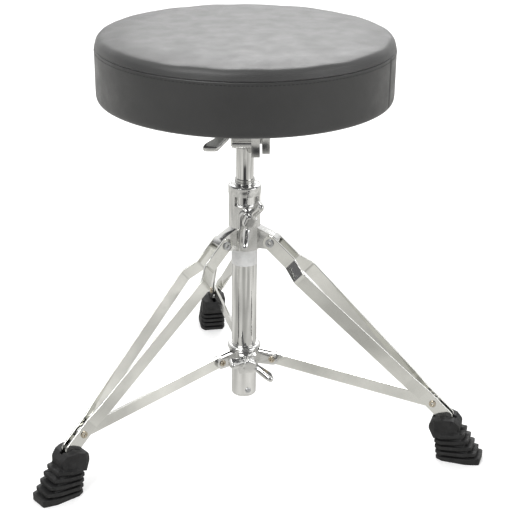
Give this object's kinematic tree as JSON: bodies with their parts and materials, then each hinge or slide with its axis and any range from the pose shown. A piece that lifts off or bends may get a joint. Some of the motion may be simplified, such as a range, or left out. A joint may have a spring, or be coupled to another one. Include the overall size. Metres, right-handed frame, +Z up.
{
  "type": "drum throne",
  "caption": "Round black padded drummer's seat on a chromed height-adjustable post with a folding double-braced tripod, wing screws and ribbed rubber feet.",
  "frame": {"origin": "middle of the footprint on the floor; the column stands 61 mm in front of it (y = -0.061 m)", "axes": "+Z up; +Y towards the rear leg; +X to the right, seen from the front where the wing screws point"},
  "size_m": [0.4894, 0.432, 0.454],
  "materials": {
    "tube_chrome": "bright chrome plate on drawn tube, faint lengthwise lines",
    "post_chrome": "bright chrome plate, mirror smooth",
    "cast_chrome": "chrome plate on a die casting, softly rounded, slightly uneven",
    "strip_chrome": "chrome plate on flat strip with worn, rounded edges",
    "zinc_steel": "zinc-plated steel",
    "rivet_steel": "yellow-passivated steel rivet",
    "bush_chrome": "chrome plate on a ribbed split bush, a little darker than the tubes",
    "nylon": "black moulded nylon, glossy",
    "band": "plain pale film band, no marks",
    "foot_rubber": "black moulded rubber, matt with a fine grain",
    "vinyl": "black leather-look vinyl with a fine grain and soft sheen",
    "foam": "open-cell foam",
    "plywood": "birch plywood",
    "dust_cloth": "black non-woven cloth"
  },
  "bodies": {
    "stand": {"outer_tube": "tube_chrome", "top_casting": "cast_chrome", "post_bush": "bush_chrome", "casting_set_screw": "zinc_steel", "tube_end_cap": "tube_chrome", "tube_stop_screw": "zinc_steel", "plain_band": "band", "leg_pivot_rivets": "zinc_steel"},
    "height_screw": {"height_wing_screw": "cast_chrome", "height_screw_stud": "zinc_steel"},
    "collar": {"brace_collar": "cast_chrome", "brace_pivot_rivets": "rivet_steel"},
    "collar_screw": {"collar_wing_screw": "cast_chrome", "collar_screw_stud": "zinc_steel"},
    "post": {"post": "post_chrome", "post_guide_ring": "nylon", "post_cap": "nylon"},
    "seat": {"seat_clamp": "cast_chrome", "seat_plate": "zinc_steel", "seat_screws": "zinc_steel", "seat_tee_nuts": "zinc_steel", "seat_board": "plywood", "seat_foam": "foam", "seat_cover_top": "vinyl", "seat_cover_band": "vinyl", "seat_dust_cloth": "dust_cloth"},
    "clamp_screw": {"clamp_wing_screw": "cast_chrome", "clamp_screw_stud": "zinc_steel"},
    "left_leg": {"left_leg_strip_1": "strip_chrome", "left_leg_strip_2": "strip_chrome", "left_foot_rivets": "rivet_steel", "left_foot_spacer": "zinc_steel", "left_foot_pin": "zinc_steel", "left_foot": "foot_rubber"},
    "left_brace": {"left_brace": "strip_chrome"},
    "right_leg": {"right_leg_strip_1": "strip_chrome", "right_leg_strip_2": "strip_chrome", "right_foot_rivets": "rivet_steel", "right_foot_spacer": "zinc_steel", "right_foot_pin": "zinc_steel", "right_foot": "foot_rubber"},
    "right_brace": {"right_brace": "strip_chrome"},
    "rear_leg": {"rear_leg_strip_1": "strip_chrome", "rear_leg_strip_2": "strip_chrome", "rear_foot_rivets": "rivet_steel", "rear_foot_spacer": "zinc_steel", "rear_foot_pin": "zinc_steel", "rear_foot": "foot_rubber"},
    "rear_brace": {"rear_brace": "strip_chrome"}
  },
  "joints": [
    {"name": "left_leg_fold", "type": "hinge", "parent": "stand", "child": "left_leg", "pos_m": [-0.02763, -0.07695, 0.2258], "axis": [0.5, -0.866, 0], "range_deg": [0, 42]},
    {"name": "right_leg_fold", "type": "hinge", "parent": "stand", "child": "right_leg", "pos_m": [0.02763, -0.07695, 0.2258], "axis": [0.5, 0.866, 0], "range_deg": [0, 42]},
    {"name": "rear_leg_fold", "type": "hinge", "parent": "stand", "child": "rear_leg", "pos_m": [0, -0.0291, 0.2258], "axis": [-1, 0, 0], "range_deg": [0, 42]},
    {"name": "collar_slide", "type": "slide", "parent": "stand", "child": "collar", "axis": [0, 0, 1], "range_m": [0, 0.0798]},
    {"name": "left_brace_turn", "type": "hinge", "parent": "collar", "child": "left_brace", "pos_m": [-0.03022, -0.07845, 0.0832], "axis": [0.5, -0.866, 0], "range_deg": [0, 75.29]},
    {"name": "right_brace_turn", "type": "hinge", "parent": "collar", "child": "right_brace", "pos_m": [0.03022, -0.07845, 0.0832], "axis": [0.5, 0.866, 0], "range_deg": [0, 75.29]},
    {"name": "rear_brace_turn", "type": "hinge", "parent": "collar", "child": "rear_brace", "pos_m": [0, -0.0261, 0.0832], "axis": [-1, 0, 0], "range_deg": [0, 75.29]},
    {"name": "height_screw_turn", "type": "hinge", "parent": "stand", "child": "height_screw", "pos_m": [0, -0.0865, 0.256], "axis": [0, -1, 0], "range_deg": [0, 540]},
    {"name": "collar_screw_turn", "type": "hinge", "parent": "collar", "child": "collar_screw", "pos_m": [0, -0.0865, 0.084], "axis": [0, -1, 0], "range_deg": [0, 540]},
    {"name": "post_slide", "type": "slide", "parent": "stand", "child": "post", "axis": [0, 0, 1], "range_m": [-0.02, 0.14]},
    {"name": "seat_swivel", "type": "hinge", "parent": "post", "child": "seat", "pos_m": [0, -0.061, 0.35], "axis": [0, 0, 1], "continuous": true},
    {"name": "clamp_screw_turn", "type": "hinge", "parent": "seat", "child": "clamp_screw", "pos_m": [-0.01864, -0.07345, 0.35], "axis": [-0.9848, 0.1736, 0], "range_deg": [0, 540]}
  ],
  "couplings": [
    {"joint": "right_leg_fold", "follows": "left_leg_fold", "ratio": 1},
    {"joint": "rear_leg_fold", "follows": "left_leg_fold", "ratio": 1},
    {"joint": "collar_slide", "follows": "left_leg_fold", "m_per_rad": 0.10864},
    {"joint": "left_brace_turn", "follows": "left_leg_fold", "ratio": 1.7879},
    {"joint": "right_brace_turn", "follows": "left_leg_fold", "ratio": 1.7879},
    {"joint": "rear_brace_turn", "follows": "left_leg_fold", "ratio": 1.7879}
  ]
}
